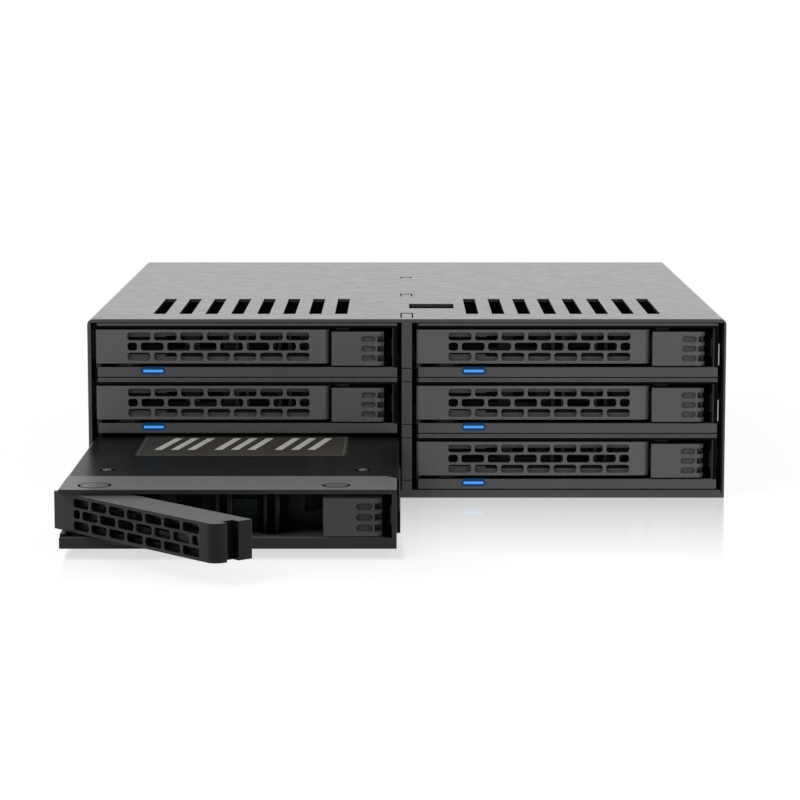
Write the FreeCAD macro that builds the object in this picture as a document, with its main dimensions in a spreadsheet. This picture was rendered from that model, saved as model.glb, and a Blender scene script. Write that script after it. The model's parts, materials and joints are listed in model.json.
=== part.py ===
import FreeCAD, Part
import math
import os
import Sketcher
from FreeCAD import Placement, Rotation, Vector
from types import SimpleNamespace

# Hot swap cage for six 2.5 inch drives in one half-height 5.25 inch bay, in millimetres.
# X runs to the right, Y from the front to the rear and Z up. The origin is on the underside,
# in the middle of the four bottom mounting holes.

doc = FreeCAD.newDocument("DriveCage")

driving = {
    # sheet metal case
    "cage_width": 146.0,
    "cage_height": 41.3,
    "sheet": 0.8,
    "bend_outside": 1.3,
    "hem_height": 1.8,
    "post_width": 2.35,
    "post_depth": 3.0,
    "web": 1.2,
    "web_gap": 2.5,
    "tab_length": 12.0,
    "tab_first": 1.3,
    "tab_step": 46.5,
    "tab_count": 3,
    "post_seam": 0.25,
    "post_tab": 3.1,
    "post_tab_up": 0.3,
    # mounting holes of a 5.25 inch device
    "hole_setback": 47.4,
    "hole_spacing": 79.25,
    "bottom_hole_in": 3.15,
    "side_hole_low": 10.0,
    "side_hole_rise": 11.8,
    "tapped_hole": 2.5,
    # openings of the case
    "vent_width": 2.9,
    "vent_length": 35.8,
    "vent_front": 11.6,
    "vent_pitch": 6.03,
    "vent_inner": 15.25,
    "vents_a_side": 8,
    "window_front": 19.0,
    "window_length": 24.0,
    "window_height": 5.1,
    "window_low": 2.8,
    "access_width": 10.6,
    "access_length": 10.8,
    "access_left": 0.6,
    "access_front": 24.6,
    # six bays, in two columns of three
    "bay_rows": 3,
    "first_bay": 2.1,
    "bay_pitch": 12.95,
    "front_gap": 1.06,
    "slide_gap": 0.3,
    "rail_play": 0.15,
    "rail_width": 1.6,
    "rail_thick": 0.6,
    "rail_gap": 1.5,
    # tray
    "tray_tall": 12.2,
    "tray_depth": 17.5,
    "strip_tall": 2.2,
    "strip_depth": 1.6,
    "floor_thick": 1.2,
    "lip_thick": 0.9,
    "rear_wall": 1.2,
    "side_post": 1.0,
    "rib": 0.8,
    "rib_front": 10.4,
    "rib_left": 3.1,
    "rib_right": 6.8,
    "rib_pair": 2.4,
    "lip_corner": 2.5,
    "airway_wide": 5.5,
    "airway_tall": 5.6,
    "airway_pitch": 9.0,
    "airway_count": 7,
    "sled_sheet": 0.8,
    "skirt_low": 0.2,
    "sled_window": 18.0,
    "window_gap": 6.0,
    "window_pitch": 26.4,
    "window_count": 3,
    # lever
    "lever_long": 53.5,
    "lever_top_gap": 0.45,
    "lever_deep": 9.3,
    "lever_gap": 0.9,
    "lever_face": 1.2,
    "lever_flange": 1.5,
    "lever_block": 15.9,
    "lever_end": 2.8,
    "nose": 3.1,
    "nose_round": 2.2,
    "hook": 3.3,
    "hook_notch": 1.9,
    "heel_round": 0.6,
    "heel_back_round": 2.5,
    "pivot_in": 6.8,
    "pivot_back": 5.6,
    "brick_long": 5.25,
    "brick_corner": 0.4,
    "brick_bar": 0.8,
    "brick_row_bar": 0.48,
    "brick_edge": 0.62,
    "brick_first": 7.3,
    "brick_last": 4.0,
    "brick_short": 2.2,
    "cam_rim": 1.2,
    "cam_length": 8.6,
    "cam_depth": 1.3,
    # latch and its spring
    "latch_seam": 0.45,
    "latch_drop": 0.5,
    "latch_deep": 9.0,
    "latch_travel_gap": 2.0,
    "tooth": 0.2,
    "tooth_play": 0.3,
    "grip_pitch": 2.2,
    "grip_long": 3.3,
    "grip_tall": 1.4,
    "grip_corner": 0.4,
    "grip_depth": 0.7,
    "grip_count": 3,
    "finger_long": 1.9,
    "finger_cut": 1.5,
    "finger_depth": 3.0,
    "latch_corner": 0.9,
    "spring_strip": 0.25,
    "spring_wide": 4.0,
    # pivot pin and guide key
    "pin": 3.0,
    "pin_fit": 0.03,
    "pad_corner": 1.4,
    "guide_in": 12.45,
    "guide_dip": 0.9,
    # light pipe
    "lens_in": 10.3,
    "lens_long": 5.6,
    "lens_tall": 1.65,
    "lens_corner": 0.5,
    "pipe": 1.5,
    "pipe_play": 0.1,
    # 2.5 inch drive, 7 mm tall
    "drive_width": 69.85,
    "drive_length": 100.2,
    "drive_tall": 7.0,
    "drive_up": 4.9,
    "drive_play": 0.5,
    "drive_edge": 0.5,
    "plug_offset": 13.4,
    "plug_width": 37.0,
    "plug_tall": 4.0,
    "plug_reach": 2.7,
    "plug_play": 0.4,
    "plug_base": 6.5,
    # rear
    "board": 1.6,
    "board_margin": 0.5,
    "air_slot": 11.0,
    "air_first": 6.6,
    "air_second": 19.8,
    "port_x": 9.5,
    "port_step": 13.0,
    "port_wide": 15.6,
    "port_tall": 7.0,
    "port_deep": 8.0,
    "port_room": 0.6,
    "port_wall": 1.5,
    "port_tongue": 1.2,
    "power_x": 21.5,
    "power_wide": 6.4,
    "power_tall": 24.0,
    "plug_bay_gap": 2.5,
    "plug_bay_sill": 3.2,
    "fan": 38.0,
    "fan_thick": 20.0,
    "fan_side_gap": 5.7,
    "fan_duct": 36.4,
    "fan_hole_gap": 32.0,
    "fan_hub": 18.0,
    "fan_hub_mount": 19.0,
    "fan_strut": 2.2,
    "fan_strut_deep": 2.0,
    "fan_corner": 2.0,
    "blade_count": 7,
    "blade_gap": 0.5,
    "blade_thick": 1.1,
    "blade_deep": 12.0,
    "blade_pitch": 38.0,
    "flange": 8.0,
    "standoff_flats": 4.4,
    "standoff_in": 2.4,
    "standoff_low": 8.0,
    "standoff_rise": 25.0,
    "screw_head": 4.8,
    "screw_head_thick": 0.8,
    # the bottom left tray is drawn out, with its lever part open
    "pull": 75.0,
    "lever_open": 48.0,
}


class Size:
    """A length that carries its number and the expression that ties it to the sheet."""

    def __init__(self, value, text):
        self.value = value
        self.text = text

    def __add__(self, other):
        other = sized(other)
        return Size(self.value + other.value, f"({self.text} + {other.text})")

    def __sub__(self, other):
        other = sized(other)
        return Size(self.value - other.value, f"({self.text} - {other.text})")

    def __mul__(self, other):
        other = sized(other)
        return Size(self.value * other.value, f"({self.text} * {other.text})")

    def __truediv__(self, other):
        other = sized(other)
        return Size(self.value / other.value, f"({self.text} / {other.text})")

    def __neg__(self):
        return Size(-self.value, f"(0 - {self.text})")

    def __radd__(self, other):
        return sized(other) + self

    def __rsub__(self, other):
        return sized(other) - self

    __rmul__ = __mul__


def sized(term):
    return term if isinstance(term, Size) else Size(float(term), repr(float(term)))


def whole(term):
    """The size rounded down to a whole number."""
    return Size(math.floor(term.value), f"floor({term.text})")


def make_sheet():
    """The driving sizes as named cells of a spreadsheet."""
    sheet = doc.addObject("Spreadsheet::Sheet", "Sizes")
    for line, (name, value) in enumerate(driving.items(), 1):
        sheet.set(f"A{line}", name)
        sheet.set(f"B{line}", str(value))
        sheet.setAlias(f"B{line}", name)
    doc.recompute()
    return SimpleNamespace(**{k: Size(v, f"Sizes.{k}") for k, v in driving.items()})


s = make_sheet()

# Places that several pieces share. Depths are counted from the front face of the cage.
wall_face = s.cage_width / 2 - s.sheet
ceiling = s.cage_height - s.sheet
bay_width = wall_face - s.post_width / 2
bay_middle = (wall_face + s.post_width / 2) / 2
front = -(s.hole_setback + s.hole_spacing / 2)
tray_half = bay_width / 2 - s.front_gap
sled_half = bay_width / 2 - s.slide_gap
lever_low = s.strip_tall + s.lever_gap
lever_tall = s.tray_tall - s.lip_thick - s.lever_top_gap - lever_low
pivot_x = s.pivot_in - tray_half
guide_x = tray_half - s.guide_in
pad_top = lever_low - s.slide_gap
latch_right = tray_half - s.side_post - s.latch_travel_gap
latch_left = s.lever_long - tray_half + s.latch_seam
latch_low = lever_low - s.latch_drop
lens_left = s.lens_in - tray_half
lens_low = s.strip_tall - s.lens_tall
drive_front = s.tray_depth + s.drive_play
drive_rear = drive_front + s.drive_length
drive_low = s.first_bay + s.drive_up
board_front = drive_rear - s.plug_reach + s.plug_base
board_rear = board_front + s.board
web_end = board_front - s.web_gap
rail_front = s.tray_depth + s.rail_gap
panel_front = board_rear + s.port_deep + s.port_room + s.fan_thick
cage_depth = panel_front + s.sheet
fan_x = wall_face - s.fan_side_gap - s.fan / 2
plug_bay_half = fan_x - s.fan / 2 - s.plug_bay_gap
standoff_x = wall_face - s.sheet - s.standoff_in
mid_height = (s.sheet + ceiling) / 2
plug_low = s.drive_up + (s.drive_tall - s.plug_tall) / 2
side_screw_depth = panel_front - s.flange / 2
brick_tall = (lever_tall - s.brick_edge * 2 - s.brick_row_bar * 2) / 3
brick_row = brick_tall + s.brick_row_bar
brick_pitch = s.brick_long + s.brick_bar
brick_count = whole((s.lever_long - s.brick_first - s.brick_last + s.brick_bar) / brick_pitch)

# The three base planes: the role of each in a body, and whether its normal runs along the axis.
planes = {"XY": ("XY_Plane", 1), "XZ": ("XZ_Plane", -1), "YZ": ("YZ_Plane", 1)}


def new_body(name, x=0, y=front, z=0):
    """An empty body whose own zero stands at x, y, z of the cage."""
    piece = doc.addObject("PartDesign::Body", name)
    piece.Label = name
    piece.AllowCompound = True
    place = [sized(term) for term in (x, y, z)]
    piece.Placement = Placement(Vector(*[term.value for term in place]), Rotation())
    for axis, term in zip("xyz", place):
        piece.setExpression(f"Placement.Base.{axis}", term.text)
    return piece


def new_sketch(piece, plane, start):
    """A sketch on one of the body's base planes, moved along that plane's axis to start."""
    role, sign = planes[plane]
    sketch = piece.newObject("Sketcher::SketchObject", "Outline")
    support = next(part for part in piece.Origin.OriginFeatures if part.Role == role)
    sketch.AttachmentSupport = [(support, "")]
    sketch.MapMode = "FlatFace"
    offset = sized(start) * sign
    sketch.AttachmentOffset = Placement(Vector(0, 0, offset.value), Rotation())
    sketch.setExpression("AttachmentOffset.Base.z", offset.text)
    return sketch


def bind(feature, name, term):
    term = sized(term)
    setattr(feature, name, term.value)
    feature.setExpression(name, term.text)


def add(piece, plane, start, length, *drawings):
    """Material from start to start + length along the plane's axis."""
    sketch = new_sketch(piece, plane, start)
    for draw in drawings:
        draw(sketch)
    feature = piece.newObject("PartDesign::Pad", "Pad")
    feature.Profile = sketch
    feature.Reversed = planes[plane][1] < 0
    bind(feature, "Length", length)
    piece.Tip = feature
    return feature


def cut(piece, plane, start, length, *drawings):
    """Material taken away from start to start + length along the plane's axis."""
    sketch = new_sketch(piece, plane, start)
    for draw in drawings:
        draw(sketch)
    feature = piece.newObject("PartDesign::Pocket", "Pocket")
    feature.Profile = sketch
    feature.Reversed = planes[plane][1] > 0
    bind(feature, "Length", length)
    piece.Tip = feature
    return feature


def repeat(piece, feature, axis, step, count):
    """The feature again at equal steps along its own sketch's H or V axis."""
    pattern = piece.newObject("PartDesign::LinearPattern", "Pattern")
    pattern.Originals = [feature]
    pattern.Direction = (feature.Profile[0], [f"{axis}_Axis"])
    bind(pattern, "Length", step * (count - 1))
    pattern.Occurrences = int(count.value)
    pattern.setExpression("Occurrences", count.text)
    piece.Tip = pattern
    return pattern


def round_edges(piece, radius, chosen, kind="PartDesign::Fillet"):
    """Rounds, or bevels, the edges whose middle point passes the test."""
    doc.recompute()
    base = piece.Tip
    edges = [
        f"Edge{number}"
        for number, edge in enumerate(base.Shape.Edges, 1)
        if chosen(edge.CenterOfMass, edge)
    ]
    feature = piece.newObject(kind, kind.split("::")[1])
    feature.Base = (base, edges)
    bind(feature, "Size" if kind.endswith("Chamfer") else "Radius", radius)
    piece.Tip = feature
    return feature


def upright(edge):
    first, last = edge.Vertexes[0].Point, edge.Vertexes[-1].Point
    return abs(first.x - last.x) + abs(first.y - last.y) < 1e-6


def near(a, b):
    return abs(a - sized(b).value) < 1e-3


# Outlines. Each returns a function that draws it on a sketch and ties it to the sheet.
def hold(sketch, geometry, vertex, point):
    for way, distance in zip(("DistanceX", "DistanceY"), point):
        number = sketch.addConstraint(
            Sketcher.Constraint(way, geometry, vertex, distance.value)
        )
        sketch.setExpression(f"Constraints[{number}]", distance.text)


def outline(*points):
    points = [(sized(x), sized(y)) for x, y in points]

    def draw(sketch):
        first, count = sketch.GeometryCount, len(points)
        for start, end in zip(points, points[1:] + points[:1]):
            sketch.addGeometry(Part.LineSegment(spot(start), spot(end)), False)
        for n in range(count):
            sketch.addConstraint(
                Sketcher.Constraint("Coincident", first + n, 2, first + (n + 1) % count, 1)
            )
        for n, point in enumerate(points):
            hold(sketch, first + n, 1, point)

    return draw


def spot(point):
    return Vector(point[0].value, point[1].value, 0)


def box(left, low, right, high):
    return outline((left, low), (right, low), (right, high), (left, high))


def brick(left, low, wide, tall, corner):
    """A rectangle with its corners cut off."""
    right, high = left + wide, low + tall
    return outline(
        (left + corner, low),
        (right - corner, low),
        (right, low + corner),
        (right, high - corner),
        (right - corner, high),
        (left + corner, high),
        (left, high - corner),
        (left, low + corner),
    )


def circle(x, y, diameter):
    centre, radius = (sized(x), sized(y)), sized(diameter) / 2

    def draw(sketch):
        ring = sketch.addGeometry(
            Part.Circle(spot(centre), Vector(0, 0, 1), radius.value), False
        )
        hold(sketch, ring, 3, centre)
        number = sketch.addConstraint(Sketcher.Constraint("Radius", ring, radius.value))
        sketch.setExpression(f"Constraints[{number}]", radius.text)

    return draw


def hexagon(x, y, flats):
    """A hexagon with two flats upright."""
    half, rise = flats / 2, flats / 2 / math.sqrt(3)
    return outline(
        (x + half, y - rise),
        (x + half, y + rise),
        (x, y + rise * 2),
        (x - half, y + rise),
        (x - half, y - rise),
        (x, y - rise * 2),
    )


# The case
def outer_shell():
    """Top and both sides, bent from one sheet."""
    side = s.cage_width / 2
    piece = new_body("outer_shell")
    add(
        piece, "XZ", 0, cage_depth,
        outline(
            (-side, 0), (-side, s.cage_height), (side, s.cage_height), (side, 0),
            (wall_face, 0), (wall_face, ceiling), (-wall_face, ceiling), (-wall_face, 0),
        ),
    )
    round_edges(
        piece, s.bend_outside,
        lambda middle, edge: near(middle.z, s.cage_height) and near(abs(middle.x), side),
    )
    vent = s.vent_width
    right = s.vent_inner - vent / 2
    left = -s.vent_inner - vent / 2 - s.vent_pitch * (s.vents_a_side - 1)
    rear = s.vent_front + s.vent_length
    vents = cut(
        piece, "XY", ceiling, s.sheet,
        box(right, s.vent_front, right + vent, rear),
        box(left, s.vent_front, left + vent, rear),
    )
    repeat(piece, vents, "H", s.vent_pitch, s.vents_a_side)
    cut(
        piece, "XY", ceiling, s.sheet,
        box(
            s.access_left, s.access_front,
            s.access_left + s.access_width, s.access_front + s.access_length,
        ),
    )
    tabs = cut(piece, "XY", ceiling, s.sheet, divider_tab())
    repeat(piece, tabs, "V", s.tab_step, s.tab_count)
    windows = cut(
        piece, "YZ", -side, s.cage_width,
        box(
            s.window_front, s.window_low,
            s.window_front + s.window_length, s.window_low + s.window_height,
        ),
    )
    repeat(piece, windows, "V", s.bay_pitch, s.bay_rows)
    low, high = s.side_hole_low, s.side_hole_low + s.side_hole_rise
    cut(
        piece, "YZ", -side, s.cage_width,
        *[circle(depth, z, s.tapped_hole) for depth in hole_depths() for z in (low, high)],
    )
    cams = cut(piece, "YZ", -side, s.sheet, cam_slot())
    repeat(piece, cams, "V", s.bay_pitch, s.bay_rows)
    cut(
        piece, "YZ", -side, s.cage_width,
        *[hexagon(side_screw_depth, z, s.screw_head) for z in side_screw_heights()],
    )


def hole_depths():
    return s.hole_setback, s.hole_setback + s.hole_spacing


def side_screw_heights():
    return s.standoff_low, s.standoff_low + s.standoff_rise


def divider_tab():
    half = s.post_width / 2
    return box(-half, s.tab_first, half, s.tab_first + s.tab_length)


def cam_slot():
    """The slot that a lever's heel swings into, behind a narrow rim."""
    low = s.first_bay + lever_low - s.slide_gap
    high = s.first_bay + lever_low + lever_tall + s.slide_gap
    return box(s.cam_rim, low, s.cam_rim + s.cam_length, high)


def bottom_plate():
    """Flat floor between the side walls, with its front edge folded up."""
    piece = new_body("bottom_plate")
    add(piece, "XY", 0, s.sheet, box(-wall_face, 0, wall_face, cage_depth))
    add(piece, "XY", 0, s.hem_height, box(-wall_face, 0, wall_face, s.sheet))
    half = s.cage_width / 2 - s.bottom_hole_in
    cut(
        piece, "XY", 0, s.sheet,
        *[circle(x, depth, s.tapped_hole) for x in (-half, half) for depth in hole_depths()],
    )
    tabs = cut(piece, "XY", 0, s.hem_height, divider_tab())
    repeat(piece, tabs, "V", s.tab_step, s.tab_count)


def centre_divider():
    """Web between the two columns, with a front post and tabs through the top and bottom."""
    half, rise = s.post_width / 2, ceiling - s.sheet
    piece = new_body("centre_divider")
    add(piece, "XY", s.sheet, rise, box(-s.web / 2, s.sheet, s.web / 2, web_end))
    add(piece, "XY", s.hem_height, ceiling - s.hem_height, box(-half, 0, half, s.post_depth))
    add(piece, "XY", s.sheet, rise, box(-half, s.sheet, half, s.post_depth))
    for start in (0, ceiling - s.pin_fit):
        tabs = add(piece, "XY", start, s.sheet + s.pin_fit, divider_tab_wall())
        repeat(piece, tabs, "V", s.tab_step, s.tab_count)
    cams = cut(piece, "YZ", half - s.cam_depth, s.cam_depth, cam_slot())
    repeat(piece, cams, "V", s.bay_pitch, s.bay_rows)
    low = s.first_bay + s.post_tab_up - s.post_tab / 2
    high = low + s.post_tab
    seams = cut(
        piece, "XZ", 0, s.post_seam,
        box(-half, low, half, low + s.post_seam),
        box(-half, high, half, high + s.post_seam),
    )
    repeat(piece, seams, "V", s.bay_pitch, s.bay_rows)


def divider_tab_wall():
    """The tabs' outline, a hair narrower than their slots."""
    half = s.post_width / 2 - s.pin_fit
    return box(
        -half, s.tab_first + s.pin_fit, half, s.tab_first + s.tab_length - s.pin_fit
    )


def bay_rails():
    """Ledges on the walls and on the divider that carry the trays' skirts."""
    top = s.first_bay + s.skirt_low - s.rail_play
    low = top - s.rail_thick
    inner = s.post_width / 2 + s.rail_width
    piece = new_body("bay_rails")
    rails = add(
        piece, "XZ", rail_front, web_end - rail_front,
        box(-wall_face, low, s.rail_width - wall_face, top),
        box(-inner, low, -s.web / 2, top),
        box(s.web / 2, low, inner, top),
        box(wall_face - s.rail_width, low, wall_face, top),
    )
    repeat(piece, rails, "V", s.bay_pitch, s.bay_rows)


# The rear of the case
def rear_panel():
    """Panel with two fan openings and a window for the plugs, between two side flanges."""
    piece = new_body("rear_panel")
    add(piece, "XZ", panel_front, s.sheet, box(-wall_face, s.sheet, wall_face, ceiling))
    for edge in (-wall_face, wall_face - s.sheet):
        add(
            piece, "XZ", panel_front - s.flange, s.flange,
            box(edge, s.sheet, edge + s.sheet, ceiling),
        )
    cut(
        piece, "XZ", panel_front, s.sheet,
        box(
            -plug_bay_half, s.sheet + s.plug_bay_sill,
            plug_bay_half, ceiling - s.plug_bay_sill,
        ),
        circle(fan_x, mid_height, s.fan_duct),
        circle(-fan_x, mid_height, s.fan_duct),
    )


def fan_screw_places():
    reach = s.fan_hole_gap / 2
    return [
        (middle + x, mid_height + z)
        for middle in (-fan_x, fan_x)
        for x in (-reach, reach)
        for z in (-reach, reach)
    ]


def standoff_places():
    return [(x, z) for x in (-standoff_x, standoff_x) for z in side_screw_heights()]


def backplane():
    """Circuit board across the cage, with air slots beside each drive socket."""
    piece = new_body("backplane")
    half = wall_face - s.board_margin
    add(
        piece, "XZ", board_front, s.board,
        box(-half, s.sheet + s.board_margin, half, ceiling - s.board_margin),
    )
    slots = [
        box(middle + reach, drive_low, middle + reach + s.air_slot, drive_low + s.airway_tall)
        for middle in (-bay_middle, bay_middle)
        for reach in (s.air_first, s.air_second)
    ]
    air = cut(piece, "XZ", board_front, s.board, *slots)
    repeat(piece, air, "V", s.bay_pitch, s.bay_rows)


def drive_sockets():
    """Six plugs for the drives, each with a slot for the drive's contact tongue."""
    piece = new_body("drive_sockets")
    low = s.first_bay + plug_low
    blocks, slots = [], []
    for middle in (-bay_middle, bay_middle):
        left = middle - s.plug_offset - s.plug_width / 2
        right = left + s.plug_width
        blocks.append(box(left, low, right, low + s.plug_tall))
        slot_low = low + (s.plug_tall - s.port_tongue) / 2
        slots.append(
            box(left + s.port_wall, slot_low, right - s.port_wall, slot_low + s.port_tongue)
        )
    solid = add(piece, "XZ", board_front - s.plug_base, s.plug_base, *blocks)
    repeat(piece, solid, "V", s.bay_pitch, s.bay_rows)
    hollow = cut(piece, "XZ", board_front - s.plug_base, s.plug_base - s.port_wall, *slots)
    repeat(piece, hollow, "V", s.bay_pitch, s.bay_rows)


def shrouded_ports(name, places, wide, tall, tongue):
    """Connector shrouds on the rear of the board, each round a flat contact tongue."""
    piece = new_body(name)
    wall = s.port_wall
    outer = [box(x - wide / 2, z - tall / 2, x + wide / 2, z + tall / 2) for x, z in places]
    inner = [
        box(
            x - wide / 2 + wall, z - tall / 2 + wall,
            x + wide / 2 - wall, z + tall / 2 - wall,
        )
        for x, z in places
    ]
    add(piece, "XZ", board_rear, s.port_deep, *outer)
    cut(piece, "XZ", board_rear + wall, s.port_deep - wall, *inner)
    add(piece, "XZ", board_rear, s.port_deep - wall, *[tongue(x, z) for x, z in places])


def data_ports():
    places = [
        (x, mid_height + s.port_step * level)
        for x in (-s.port_x, s.port_x)
        for level in (-1, 0, 1)
    ]
    half, thin = s.port_wide / 2 - s.port_wall * 2, s.port_tongue

    def key(x, z):
        return outline(
            (x - half, z - thin / 2), (x + half, z - thin / 2), (x + half, z + thin),
            (x + half - thin, z + thin), (x + half - thin, z + thin / 2),
            (x - half, z + thin / 2),
        )

    shrouded_ports("data_ports", places, s.port_wide, s.port_tall, key)


def power_ports():
    half, thin = s.power_tall / 2 - s.port_wall * 2, s.port_tongue

    def key(x, z):
        return outline(
            (x - thin / 2, z - half), (x + thin, z - half), (x + thin, z - half + thin),
            (x + thin / 2, z - half + thin), (x + thin / 2, z + half),
            (x - thin / 2, z + half),
        )

    places = [(-s.power_x, mid_height), (s.power_x, mid_height)]
    shrouded_ports("power_ports", places, s.power_wide, s.power_tall, key)


def board_standoffs():
    piece = new_body("board_standoffs")
    add(
        piece, "XZ", board_rear, panel_front - board_rear,
        *[hexagon(x, z, s.standoff_flats) for x, z in standoff_places()],
    )


def rear_screws():
    """Hexagon heads of the screws into the fans and the standoffs."""
    piece = new_body("rear_screws")
    add(
        piece, "XZ", cage_depth, s.screw_head_thick,
        *[hexagon(x, z, s.screw_head) for x, z in fan_screw_places() + standoff_places()],
    )


def side_screws():
    """Hexagon heads clinched into the shell, flush with the sides, on the panel's flanges."""
    piece = new_body("side_screws")
    side, head = s.cage_width / 2, s.screw_head - s.pin_fit * 2
    for start in (-side, side - s.sheet):
        add(
            piece, "YZ", start, s.sheet,
            *[hexagon(side_screw_depth, z, head) for z in side_screw_heights()],
        )


def fan_housing(name, x):
    """Square frame round a duct, with the motor mount on four struts at its rear."""
    piece = new_body(name, x, front + panel_front - s.fan_thick, mid_height)
    half, strut = s.fan / 2, s.fan_strut / 2
    reach = s.fan_duct / 2 + s.fan_strut / 4
    add(piece, "XZ", 0, s.fan_thick, box(-half, -half, half, half))
    round_edges(
        piece, s.fan_corner,
        lambda middle, edge: near(abs(middle.x), half) and near(abs(middle.z), half),
        "PartDesign::Chamfer",
    )
    cut(piece, "XZ", 0, s.fan_thick, circle(0, 0, s.fan_duct))
    struts = s.fan_thick - s.fan_strut_deep
    add(piece, "XZ", struts, s.fan_strut_deep, box(-reach, -strut, reach, strut))
    add(piece, "XZ", struts, s.fan_strut_deep, box(-strut, -reach, strut, reach))
    add(piece, "XZ", struts, s.fan_strut_deep, circle(0, 0, s.fan_hub_mount))


def fan_rotor(name, x):
    """Hub with pitched blades, which turns about its own Y axis."""
    piece = new_body(name, x, front + panel_front - s.fan_thick, mid_height)
    start, deep = s.fan_strut_deep / 2, s.blade_deep
    hub_long = s.fan_thick - s.fan_strut_deep * 1.5 - s.blade_gap
    slant = math.tan(math.radians(s.blade_pitch.value))
    add(piece, "XZ", start, hub_long, circle(0, 0, s.fan_hub))
    tip = s.fan_duct / 2 - s.blade_gap
    lean, low = deep * slant / 2, start + s.blade_gap
    blade = add(
        piece, "YZ", s.fan_hub / 4, tip - s.fan_hub / 4,
        outline(
            (low, -lean / 2), (low + s.blade_thick, -lean / 2),
            (low + deep, lean / 2), (low + deep - s.blade_thick, lean / 2),
        ),
    )
    ring = piece.newObject("PartDesign::PolarPattern", "Blades")
    ring.Originals = [blade]
    axis = next(part for part in piece.Origin.OriginFeatures if part.Role == "Y_Axis")
    ring.Axis = (axis, [""])
    ring.Angle = 360
    ring.Occurrences = int(s.blade_count.value)
    ring.setExpression("Occurrences", s.blade_count.text)
    piece.Tip = ring


# The six trays. Each piece's own zero is the middle of its tray's front edge, at the bottom.
def tray_frame(name, place):
    """Moulded front with lip, strip and ribs, and the sled that carries the drive."""
    piece = new_body(name, *place)
    half, depth, corner = tray_half, s.tray_depth, s.lip_corner
    lip_low = s.tray_tall - s.lip_thick
    back = depth - s.rear_wall
    add(piece, "XY", 0, s.strip_tall, box(-half, 0, half, s.strip_depth))
    add(piece, "XY", 0, s.floor_thick, box(-half, 0, half, depth))
    add(
        piece, "XY", lip_low, s.lip_thick,
        outline(
            (-half, 0), (half, 0), (half, depth - corner), (half - corner, depth), (-half, depth)
        ),
    )
    add(
        piece, "XY", 0, s.tray_tall,
        outline(
            (-half, back), (half - corner * 2, back), (half - s.side_post, back - corner),
            (half - s.side_post, 0), (half, 0), (half, depth - corner),
            (half - corner, depth), (-half, depth),
        ),
    )
    add(
        piece, "XY", s.floor_thick, lip_low - s.floor_thick,
        *[
            box(left + step, s.rib_front, left + step + s.rib, back)
            for left in (-s.rib_left, s.rib_right)
            for step in (0, s.rib_pair)
        ],
    )
    add(
        piece, "XY", s.floor_thick, pad_top - s.floor_thick,
        box(-half, s.strip_depth, s.side_post - half, back),
    )
    pad = (s.pivot_in - s.front_gap) / 2
    add(
        piece, "XY", s.floor_thick, pad_top - s.floor_thick,
        brick(pivot_x - pad, s.pivot_back - pad, pad * 2, pad * 2, s.pad_corner),
    )
    first = s.airway_pitch * (1 - s.airway_count) / 2
    airway = cut(
        piece, "XZ", back, s.rear_wall,
        box(
            first - s.airway_wide / 2, s.drive_up,
            first + s.airway_wide / 2, s.drive_up + s.airway_tall,
        ),
    )
    repeat(piece, airway, "H", s.airway_pitch, s.airway_count)
    sled(piece)
    play, lens = s.pipe_play, s.pin_fit
    pipe_left = lens_left + (s.lens_long - s.pipe) / 2
    cut(
        piece, "XZ", 0, s.strip_depth,
        brick(
            lens_left - lens, lens_low - lens,
            s.lens_long + lens * 2, s.lens_tall + lens, s.lens_corner,
        ),
    )
    cut(
        piece, "XZ", s.strip_depth, depth - s.strip_depth,
        box(
            pipe_left - play, lens_low - play,
            pipe_left + s.pipe + play, lens_low + s.pipe + play,
        ),
    )


def sled(piece):
    """Sheet floor under the drive, with skirts that run on the rails."""
    start, long = s.tray_depth - s.rear_wall / 2, s.drive_length - s.plug_base
    low = s.drive_up - s.sled_sheet
    add(piece, "XY", low, s.sled_sheet, box(-sled_half, start, sled_half, start + long))
    inner = sled_half - s.sled_sheet
    add(
        piece, "XY", s.skirt_low, s.drive_up - s.skirt_low,
        box(-sled_half, start, -inner, start + long),
        box(inner, start, sled_half, start + long),
    )
    window, gap = s.sled_window, s.window_gap
    first = start + window / 2
    row = cut(
        piece, "XY", low, s.sled_sheet,
        box(-window - gap, first, -gap, first + window),
        box(gap, first, gap + window, first + window),
    )
    repeat(piece, row, "V", s.window_pitch, s.window_count)


def lever(name, place, angle):
    """Channel-section handle with a brick pattern grille, a heel past its pivot and a hook."""
    x, y, z = place
    piece = new_body(name, x + pivot_x, y + s.pivot_back, z)
    if angle:
        turned = Rotation(Vector(0, 0, -1), angle.value)
        piece.Placement = Placement(piece.Placement.Base, turned)
        piece.setExpression("Placement.Rotation.Angle", angle.text)
    left, tip = -s.pivot_in, s.lever_long - s.pivot_in
    face, back = -s.pivot_back, s.lever_deep - s.pivot_back
    top = lever_low + lever_tall
    add(
        piece, "XY", lever_low, lever_tall,
        outline(
            (left, face), (tip, face), (tip, face + s.nose), (tip - s.hook_notch, face + s.nose),
            (tip - s.hook_notch, back - s.hook), (tip, back - s.hook), (tip, back), (left, back),
        ),
    )
    corners = [
        (s.heel_round, left, face),
        (s.nose_round, tip, face),
        (s.heel_back_round, left, back),
    ]
    for radius, x_at, y_at in corners:
        round_edges(
            piece, radius,
            lambda middle, edge: upright(edge) and near(middle.x, x_at) and near(middle.y, y_at),
        )
    cut(
        piece, "XY", lever_low + s.lever_flange, lever_tall - s.lever_flange * 2,
        box(left + s.lever_block, face + s.lever_face, tip - s.lever_end, back),
    )
    cut(piece, "XY", lever_low, lever_tall, circle(0, 0, s.pin + s.pin_fit * 2))
    grille(piece, left + s.brick_first, face, (lever_low + top) / 2)


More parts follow.
